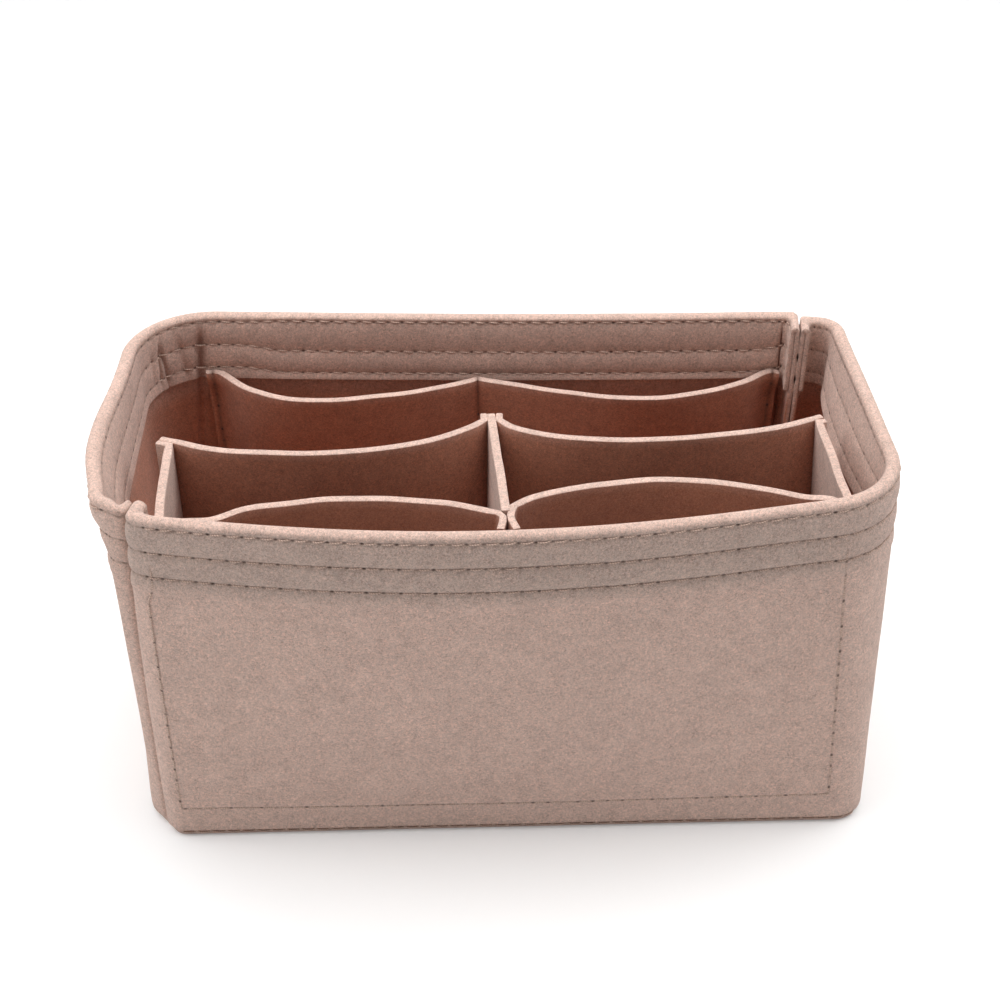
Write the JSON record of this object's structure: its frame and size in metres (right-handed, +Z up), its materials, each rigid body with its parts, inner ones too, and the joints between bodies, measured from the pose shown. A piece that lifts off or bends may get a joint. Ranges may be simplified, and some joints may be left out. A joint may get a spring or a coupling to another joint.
{
  "type": "purse organizer insert",
  "caption": "Open-topped felt box that stands inside a handbag, with a divided compartment in front and pockets along the front and back walls.",
  "frame": {"origin": "middle of the insert's length and width, on the floor that it stands on", "axes": "+X along the length to the right, +Y from the front to the back, +Z up to the open top"},
  "size_m": [0.2342, 0.1288, 0.1245],
  "materials": {
    "felt": "matte",
    "thread": "matte"
  },
  "bodies": {
    "root": {"wall_front_right": "felt", "wall_back_left": "felt", "base_panel": "felt", "front_pocket_left": "felt", "front_pocket_right": "felt", "gusset_left": "felt", "gusset_right": "felt", "middle_panel_left": "felt", "middle_panel_right": "felt", "divider": "felt", "back_pocket_panel": "felt", "hem_thread_front_right_1_outside": "thread", "hem_thread_front_right_1_inside": "thread", "hem_thread_front_right_2_outside": "thread", "hem_thread_front_right_2_inside": "thread", "hem_thread_front_right_3_outside": "thread", "hem_thread_front_right_3_inside": "thread", "hem_thread_back_left_1_outside": "thread", "hem_thread_back_left_1_inside": "thread", "hem_thread_back_left_2_outside": "thread", "hem_thread_back_left_2_inside": "thread", "hem_thread_back_left_3_outside": "thread", "hem_thread_back_left_3_inside": "thread", "front_panel_thread": "thread", "back_panel_thread": "thread", "back_pocket_center_thread": "thread", "wall_seam_thread_back": "thread", "wall_seam_thread_front": "thread", "corner_thread_left": "thread", "corner_thread_right": "thread", "divider_thread_back": "thread", "divider_thread_front": "thread", "base_seam_thread": "thread"}
  },
  "joints": []
}
